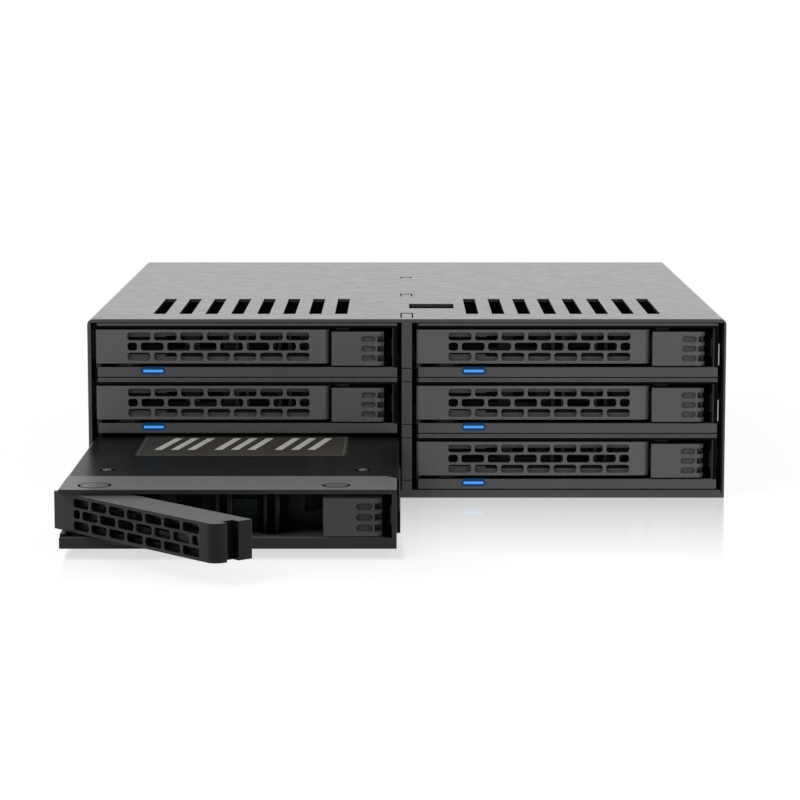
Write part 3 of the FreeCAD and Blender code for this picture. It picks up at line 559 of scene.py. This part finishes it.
def addCamSeals():
    # thin plates over the slots that the left levers' heels swing into
    shell = boxOf("outer_shell")[0]
    rim, long, gap, thick = sizes(camSeal, "rim", "long", "gap", "thick")
    start, end = shell.y + rim, shell.y + rim + long
    bm = bmesh.new()
    for row in rows:
        # the drawn lever is swung open, so the one beside it gives the heights
        side = "right" if drawnBay == f"{row}_left" else "left"
        low, high = boxOf(f"{row}_{side}_lever")
        block(bm, (shell.x, start, low.z - gap), (shell.x + thick, end, high.z + gap))
    makePiece("cam_slot_seals", bm, finishes["case_paint"], "cage")


wallShade = {"wide": 0.3, "thick": 0.03, "foot": 1.2}


def addWallShade():
    # near-black strip on the right wall's front edge: painted shade
    low, high = boxOf("outer_shell")
    wide, thick, foot = sizes(wallShade, "wide", "thick", "foot")
    inner, top = high.x - sheet * mm, high.z - sheet * mm
    bm = bmesh.new()
    block(bm, (inner, low.y - thick, low.z + foot), (inner + wide, low.y, top))
    makePiece("right_edge_shade", bm, shadeBlack, "cage")


groundStrip = {"wide": 0.2, "start": 0.2, "long": 1.2, "tall": 4.9, "up": 2.7}


def addGroundStrip(bay):
    # a bright strip beside the tray's front that grounds it on the wall
    low, high = trayFront(bay)
    wide, start, long, tall, up = sizes(groundStrip, "wide", "start", "long", "tall", "up")
    front, base = low.y + start, low.z + up
    bm = bmesh.new()
    block(bm, (high.x, front, base), (high.x + wide, front + long, base + tall))
    makePiece(f"{bay}_ground_strip", bm, finishes["plated_steel"], bodyOf(bay))


grilleShade = {
    "first": 7.3, "block": 15.9, "face": 1.2, "edge": 0.62, "bar": 0.48, "thick": 0.05,
    "under": 0.25, "over": 0.42, "sunk": 0.01,
}


def addGrilleShade(bay):
    # near-black film at the bottom of the bricks that end on the lever's solid root: painted shade
    low, high = boxOf(f"{bay}_lever")
    edge, bar, first, last = sizes(grilleShade, "edge", "bar", "first", "block")
    face, thick, sunk = sizes(grilleShade, "face", "thick", "sunk")
    tall = (high.z - low.z - edge * 2 - bar * 2) / 3
    left, right = low.x + first, low.x + last
    back = low.y + face
    front, rear = back - thick, back + sunk
    foot = low.z + edge + tall * (1 - grilleShade["under"])
    head = high.z - edge - tall * (1 - grilleShade["over"])
    bm = bmesh.new()
    block(bm, (left, front, foot), (right, rear, head))
    makePiece(f"{bay}_grille_shade", bm, shadeBlack, bodyOf(bay, "lever"))


ventShade = {
    "first": 15.25, "pitch": 6.03, "count": 8, "wide": 2.9, "front": 11.6, "long": 35.8,
    "lap": 0.5, "top": 0.04, "low": 0.12,
}


def addVentShades():
    # a near-black sheet under each group of vents: painted shade that makes the vents read dark
    low, high = boxOf("outer_shell")
    first, wide, pitch, lap = sizes(ventShade, "first", "wide", "pitch", "lap")
    front, long, under, over = sizes(ventShade, "front", "long", "low", "top")
    ceiling, edge = high.z - sheet * mm, wide / 2 + lap
    near, far = low.y + front - lap, low.y + front + long + lap
    inner, outer = first - edge, first + (ventShade["count"] - 1) * pitch + edge
    bm = bmesh.new()
    for left, right in ((-outer, -inner), (inner, outer)):
        block(bm, (left, near, ceiling - under), (right, far, ceiling - over))
    makePiece("vent_shades", bm, ventShadeBlack, "cage")


addVentShades()
for bay in bays:
    if bay != drawnBay:
        addLipEdges(bay)
        addGrilleShade(bay)
addCamSeals()
addWallShade()
for bay in ("top_right", "middle_right"):
    addGroundStrip(bay)
print("front edges finished")

# round marks over the lever's pivot and the latch's key
lipMark = {"pivot": 7.0, "key": 5.9, "groove": 0.55, "proud": 0.035, "pin": 3.0}


def addLipMarks(bay):
    low, high = boxOf(f"{bay}_pins")
    top = boxOf(f"{bay}_tray")[1].z
    pin, proud, groove, pivot, key = sizes(lipMark, "pin", "proud", "groove", "pivot", "key")
    # the grooves are flat near-black rings: painted shade where a groove's wall would be dark
    grooveShades, discs = bmesh.new(), bmesh.new()
    for x, wide in ((low.x + pin / 2, pivot), (high.x - pin / 2, key)):
        place = Matrix.Translation((x, (low.y + high.y) / 2, top))
        outer, inner = wide / 2, wide / 2 - groove
        ring = [(inner, 0), (outer, 0), (outer, proud / 3), (inner, proud / 3), (inner, 0)]
        turned(grooveShades, ring, place, roundSteps)
        disc = [(0, 0), (inner, 0), (inner, proud * 0.5), (inner - proud, proud), (0, proud)]
        turned(discs, disc, place, roundSteps)
    makePiece(f"{bay}_mark_groove_shades", grooveShades, shadeBlack, bodyOf(bay))
    makePiece(f"{bay}_mark_discs", discs, markDisc, bodyOf(bay))


for bay in bays:
    addLipMarks(bay)
print("lip marks added")

# labels and screws of the drives
driveLabel = {"wide": 46.6, "behind": 29.0, "long": 62.0, "corner": 2.0, "thick": 0.07}
labelLine = {"inset": 0.5, "wide": 0.22, "thick": 0.02}
labelBars = {
    "groups": 3, "groupStep": 13.4, "bars": 3, "barStep": 3.7, "wide": 1.7, "long": 17.5,
    "behind": 8.8, "lean": 3.4, "thick": 0.02,
}
driveScrew = {"aside": 27.2, "behind": 9.5, "radius": 1.1, "tall": 0.24, "shade": 1.8}
sledScrew = {"aside": 30.86, "rear": 14.0, "front": 90.6, "radius": 2.5, "tall": 0.8, "sheet": 0.8}


def addDriveLabel(bay):
    low, high = boxOf(f"{bay}_drive")
    middle = (low.x + high.x) / 2
    wide, behind, long = sizes(driveLabel, "wide", "behind", "long")
    corner, thick = sizes(driveLabel, "corner", "thick")
    left, right = middle - wide / 2, middle + wide / 2
    front, back, top = low.y + behind, low.y + behind + long, high.z + thick
    bm = bmesh.new()
    sheetPlate(bm, (left, front, high.z), (right, back, top), corner, 5)
    makePiece(f"{bay}_drive_label", bm, labelFilm, bodyOf(bay))
    bm = bmesh.new()
    inset, line, thick = sizes(labelLine, "inset", "wide", "thick")
    near, far, west, east = front + inset, back - inset, left + inset, right - inset
    for start, end in (
        ((west, near), (east, near + line)),
        ((west, far - line), (east, far)),
        ((west, near + line), (west + line, far - line)),
        ((east - line, near + line), (east, far - line)),
    ):
        block(bm, (*start, top), (*end, top + thick))
    makePiece(f"{bay}_label_line", bm, labelEdge, bodyOf(bay))
    # slanting bars in groups, a plain pattern with no meaning
    bm = bmesh.new()
    behind, wide, long, thick = sizes(labelBars, "behind", "wide", "long", "thick")
    start, end = front + behind, front + behind + long
    lean = Matrix.Identity(4)
    lean[0][1] = labelBars["lean"] / labelBars["long"]
    lean[0][3] = -lean[0][1] * (start + end) / 2
    for group in spaced(labelBars["groups"], labelBars["groupStep"] * mm):
        for bar in spaced(labelBars["bars"], labelBars["barStep"] * mm):
            x = middle + group + bar
            before = set(bm.verts)
            block(bm, (x - wide / 2, start, top), (x + wide / 2, end, top + thick))
            made = [vert for vert in bm.verts if vert not in before]
            bmesh.ops.transform(bm, matrix=lean, verts=made)
    makePiece(f"{bay}_label_bars", bm, labelInk, bodyOf(bay))


def addDriveScrews(bay):
    low, high = boxOf(f"{bay}_drive")
    middle = (low.x + high.x) / 2
    heads, shades = bmesh.new(), bmesh.new()
    radius, tall, shade = sizes(driveScrew, "radius", "tall", "shade")
    aside, behind = sizes(driveScrew, "aside", "behind")
    # shades are flat near-black rings round each drive screw: painted shade round the head
    ring = [(radius, 0), (shade, 0), (radius, tall / 6), (radius, 0)]
    for y in (low.y + behind, high.y - behind):
        for x in (middle - aside, middle + aside):
            place = Matrix.Translation((x, y, high.z))
            crossScrew(heads, place, radius, tall)
            turned(shades, ring, place, roundSteps // 2)
    makePiece(f"{bay}_drive_screws", heads, screwSteel, bodyOf(bay))
    makePiece(f"{bay}_screw_shades", shades, shadeBlack, bodyOf(bay))
    # the screws that hold the drive, under the sled
    aside, rear, front, under = sizes(sledScrew, "aside", "rear", "front", "sheet")
    radius, tall = sizes(sledScrew, "radius", "tall")
    turn = Matrix.Rotation(math.pi, 4, "X")
    heads = bmesh.new()
    for y in (high.y - rear, high.y - front):
        for x in (middle - aside, middle + aside):
            crossScrew(heads, Matrix.Translation((x, y, low.z - under)) @ turn, radius, tall)
    makePiece(f"{bay}_sled_screws", heads, finishes["plated_steel"], bodyOf(bay))


for bay in bays:
    addDriveLabel(bay)
    addDriveScrews(bay)
print("drives finished")

# rear screws and fan stickers
rearScrew = {"radius": 2.75, "tall": 0.75, "fanReach": 16.0, "standoffOut": 69.0, "rise": 12.5}
fanSticker = {"radius": 8.2, "thick": 0.06, "ring": 6.4, "line": 0.35}


def facingRear(x, y, z):
    # a place whose axis points to the rear
    return Matrix.Translation((x, y, z)) @ Matrix.Rotation(-math.pi / 2, 4, "X")


def rearSpots():
    # every screw's spot on the rear panel
    reach, rise, aside = sizes(rearScrew, "fanReach", "rise", "standoffOut")
    spots = []
    for side in columns:
        low, high = boxOf(f"{side}_fan_housing")
        middle = (low + high) / 2
        spots += [(middle.x + x, middle.z + z) for x in (-reach, reach) for z in (-reach, reach)]
        out = -aside if side == "left" else aside
        spots += [(out, middle.z + z) for z in (-rise, rise)]
    return spots


def addRearScrews():
    back = boxOf("rear_screws")[0].y
    radius, tall = sizes(rearScrew, "radius", "tall")
    bm = bmesh.new()
    for x, z in rearSpots():
        crossScrew(bm, facingRear(x, back, z), radius, tall)
    heads = makePiece("rear_screw_heads", bm, finishes["plated_steel"], "cage")
    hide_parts("rear_screws")


def addFanSticker(side):
    low, high = boxOf(f"{side}_fan_housing")
    middle = (low + high) / 2
    place = facingRear(middle.x, high.y, middle.z)
    radius, thick, ring, line = sizes(fanSticker, "radius", "thick", "ring", "line")
    disc = [(0, 0), (radius, 0), (radius, thick / 2), (radius - thick, thick), (0, thick)]
    bm = bmesh.new()
    turned(bm, disc, place, roundSteps)
    makePiece(f"{side}_fan_sticker", bm, foil, "cage")
    bm = bmesh.new()
    outer, proud = ring + line, thick * 1.3
    edge = [(ring, thick), (outer, thick), (outer, proud), (ring, proud), (ring, thick)]
    turned(bm, edge, place, roundSteps)
    makePiece(f"{side}_sticker_ring", bm, chipBlack, "cage")


addRearScrews()
for side in columns:
    addFanSticker(side)
print("rear screws and fan stickers added")

# contacts in the rear ports and parts on the board
dataPort = {"wide": 15.6, "tall": 7.0, "tongue": 1.2, "contacts": 7}
powerPort = {"wide": 6.4, "tongue": 1.2, "contacts": 13}
contact = {"pitch": 1.17, "wide": 0.62, "long": 4.6, "thick": 0.05, "back": 2.0}


def addContacts():
    bm = bmesh.new()
    wide, thick, long, back, pitch = sizes(contact, "wide", "thick", "long", "back", "pitch")
    low, high = boxOf("data_ports")
    front, rear = high.y - back - long, high.y - back
    out, rise, tongue = (size / 2 for size in sizes(dataPort, "wide", "tall", "tongue"))
    out = high.x - out
    for x in (-out, out):
        for z in (low.z + rise, (low.z + high.z) / 2, high.z - rise):
            top = z + tongue
            for step in spaced(dataPort["contacts"], pitch):
                left = x - tongue + step - wide / 2
                block(bm, (left, front, top), (left + wide, rear, top + thick))
    low, high = boxOf("power_ports")
    out, tongue = (size / 2 for size in sizes(powerPort, "wide", "tongue"))
    out, middle = high.x - out, (low.z + high.z) / 2 + tongue
    for x in (-out, out):
        side = x + tongue
        for step in spaced(powerPort["contacts"], pitch):
            foot = middle + step - wide / 2
            block(bm, (side, front, foot), (side + thick, rear, foot + wide))
    makePiece("port_contacts", bm, gold, "cage")


boardPart = {
    "chip": (5.0, 4.0, 1.3), "chipPins": 4, "pinPitch": 1.1, "pin": (0.45, 0.9, 0.6),
    "small": (1.7, 0.9, 0.7), "end": 0.35, "edge": 0.15, "tinEdge": 0.08,
    "chipRise": 6.5, "aside": 5.4, "rowStep": 3.4, "row": 9,
}


def boardSpots():
    # the middle of each chip and small part on the rear of the board
    low, high = boxOf("data_ports")
    out = high.x - dataPort["wide"] * mm / 2
    middle = (low.z + high.z) / 2
    rise, aside, step = sizes(boardPart, "chipRise", "aside", "rowStep")
    chips = [(x, middle + z) for x in (-out, out) for z in (-rise, rise)]
    small = [(x + side, z) for x, z in chips for side in (-aside, aside)]
    small += [(0, middle + z) for z in spaced(boardPart["row"], step)]
    return chips, small


def addBoardParts():
    face = boxOf("backplane")[1].y
    resin, tin, tan = bmesh.new(), bmesh.new(), bmesh.new()
    chips, small = boardSpots()
    edge, tinEdge, end, pitch = sizes(boardPart, "edge", "tinEdge", "end", "pinPitch")
    wide, tall, deep = (size * mm / 2 for size in boardPart["chip"])
    pinWide, pinLong, pinDeep = (size * mm for size in boardPart["pin"])
    for x, z in chips:
        block(resin, (x - wide, face, z - tall), (x + wide, face + deep * 2, z + tall), edge)
        for step in spaced(boardPart["chipPins"], pitch):
            left, right = x + step - pinWide / 2, x + step + pinWide / 2
            for side in (-1, 1):
                foot = z + side * tall
                under, over = sorted((foot, foot + side * pinLong))
                block(tin, (left, face, under), (right, face + pinDeep, over), tinEdge)
    wide, tall, deep = (size * mm / 2 for size in boardPart["small"])
    for x, z in small:
        inner, under, over = wide - end, z - tall, z + tall
        block(tan, (x - inner, face, under), (x + inner, face + deep * 2, over))
        for side in (-1, 1):
            left, right = sorted((x + side * wide, x + side * inner))
            block(tin, (left, face, under), (right, face + deep * 2, over), tinEdge)
    makePiece("board_chips", resin, chipBlack, "cage")
    makePiece("board_capacitors", tan, partTan, "cage")
    makePiece("board_solder", tin, solder, "cage")


addContacts()
addBoardParts()
print("rear ports and board finished")

# small board that stands in each tray's front chamber
trayBoard = {
    "left": 34.9, "behind": 15.75, "up": 1.35, "wide": 5.9, "thick": 0.5, "tall": 6.4, "edge": 0.08,
}


def addTrayBoard(bay):
    low = boxOf(f"{bay}_tray")[0] + Vector(sizes(trayBoard, "left", "behind", "up"))
    high = low + Vector(sizes(trayBoard, "wide", "thick", "tall"))
    bm = bmesh.new()
    block(bm, low, high, trayBoard["edge"] * mm)
    makePiece(f"{bay}_lamp_board", bm, shadedLampBoard, bodyOf(bay))


for bay in bays:
    addTrayBoard(bay)
print("tray boards added")

# stage, light and camera
stage = {
    "size": 8.0, "colour": 0.97, "shadow": 0.15, "shadowReach": 0.22, "blur": 0.09,
    "caseMirror": 0.43, "caseReach": 0.080,
    "trayMirror": 0.22, "underReach": 0.002, "trayEdge": 0.09, "trayReach": 0.034,
}


def awayFrom(tree, point, low, high):
    # distance on the floor from a box's footprint
    middle, half = (low + high) / 2, (high - low) / 2
    half.z = 1.0
    vector = point
    for operation, other in (
        ("SUBTRACT", middle), ("ABSOLUTE", None), ("SUBTRACT", half), ("MAXIMUM", (0, 0, 0)),
    ):
        inputs = {0: vector, **({1: tuple(other)} if other is not None else {})}
        vector = addNode(tree, "VectorMath", inputs, operation=operation).outputs[0]
    return addNode(tree, "VectorMath", {0: vector}, operation="LENGTH").outputs["Value"]


def seenRay(tree):
    # 1 for what the camera, a mirror or clear plastic shows, 0 for the light that falls on things
    rays = addNode(tree, "LightPath").outputs
    direct = maths(tree, "MAXIMUM", rays["Is Camera Ray"], rays["Is Glossy Ray"])
    return maths(tree, "MAXIMUM", direct, rays["Is Transmission Ray"])


def addFloor():
    bm = bmesh.new()
    bmesh.ops.create_grid(bm, x_segments=1, y_segments=1, size=stage["size"])
    bmesh.ops.translate(bm, vec=(0, 0, cadBox[0][2]), verts=bm.verts[:])
    mesh = bpy.data.meshes.new("floor")
    bm.to_mesh(mesh)
    bm.free()
    floor = bpy.data.objects.new("floor", mesh)
    bpy.context.scene.collection.objects.link(floor)
    material, tree, shader = startMaterial("paleFloor")
    tree.nodes.remove(shader)
    point = addNode(tree, "TexCoord").outputs["Object"]
    fromCase = awayFrom(tree, point, *boxOf("outer_shell"))
    fromTray = awayFrom(tree, point, *boxOf(f"{drawnBay}_tray"))
    nearest = maths(tree, "MINIMUM", fromCase, fromTray)
    caseShine = spread(tree, fromCase, stage["caseMirror"], 0.0, 0.0, stage["caseReach"])
    trayShine = spread(tree, fromTray, stage["trayEdge"], 0.0, 0.0, stage["trayReach"])
    under = spread(tree, fromTray, stage["trayMirror"], 0.0, 0.0, stage["underReach"])
    shine = maths(tree, "MAXIMUM", maths(tree, "MAXIMUM", trayShine, under), caseShine)
    lit = spread(tree, nearest, 1.0 - stage["shadow"], 1.0, 0.0, stage["shadowReach"])
    pale, white = (*(stage["colour"],) * 3, 1), (1, 1, 1, 1)
    matt = addNode(tree, "BsdfDiffuse", {"Color": pale})
    glow = addNode(tree, "Emission", {"Color": white, "Strength": 1.0})
    mirror = addNode(tree, "BsdfGlossy", {"Color": white, "Roughness": stage["blur"]})
    seen = seenRay(tree)
    surface = matt.outputs[0]
    for share, over in ((lit, glow), (shine, mirror)):
        inputs = {0: maths(tree, "MULTIPLY", seen, share), 1: surface, 2: over.outputs[0]}
        surface = addNode(tree, "MixShader", inputs).outputs[0]
    plug(tree, tree.nodes["Material Output"].inputs["Surface"], surface)
    mesh.materials.append(material)


addFloor()

sky = {"seen": 1.0, "given": 0.72}


def addWorld():
    world = bpy.data.worlds.new("studio")
    world.use_nodes = True
    bpy.context.scene.world = world
    tree = world.node_tree
    background = tree.nodes["Background"]
    background.inputs["Color"].default_value = (1, 1, 1, 1)
    strength = spread(tree, seenRay(tree), sky["given"], sky["seen"])
    plug(tree, background.inputs["Strength"], strength)


addWorld()

lamps = [
    # name, place, aim, width, watts
    ("key", (-0.55, -0.75, 0.85), (0, 0, 0.02), 0.7, 9.0),
    ("fill", (0.75, -0.60, 0.55), (0, 0, 0.02), 0.8, 2.5),
]


def addLamp(name, place, aim, width, watts):
    light = bpy.data.lights.new(name, "AREA")
    light.size = width
    light.energy = watts
    holder = bpy.data.objects.new(name, light)
    bpy.context.scene.collection.objects.link(holder)
    holder.location = place
    holder.rotation_euler = (Vector(aim) - Vector(place)).to_track_quat("-Z", "Y").to_euler()


for entry in lamps:
    addLamp(*entry)

view = {
    "left": 1.56, "ahead": 647.3, "height": 109.4, "pitch": 7.63, "lens": 128.26, "sensor": 36,
    "near": 0.01,
}


def addCamera():
    caseFront = boxOf("outer_shell")[0].y
    camera = bpy.data.objects.new("camera", bpy.data.cameras.new("camera"))
    bpy.context.scene.collection.objects.link(camera)
    camera.data.sensor_width = view["sensor"]
    camera.data.lens = view["lens"]
    camera.data.clip_start = view["near"]
    camera.location = (-view["left"] * mm, caseFront - view["ahead"] * mm, view["height"] * mm)
    camera.rotation_euler = (math.radians(90 - view["pitch"]), 0, 0)
    bpy.context.scene.camera = camera


addCamera()
bpy.context.scene.view_settings.view_transform = "Standard"
print("stage set")
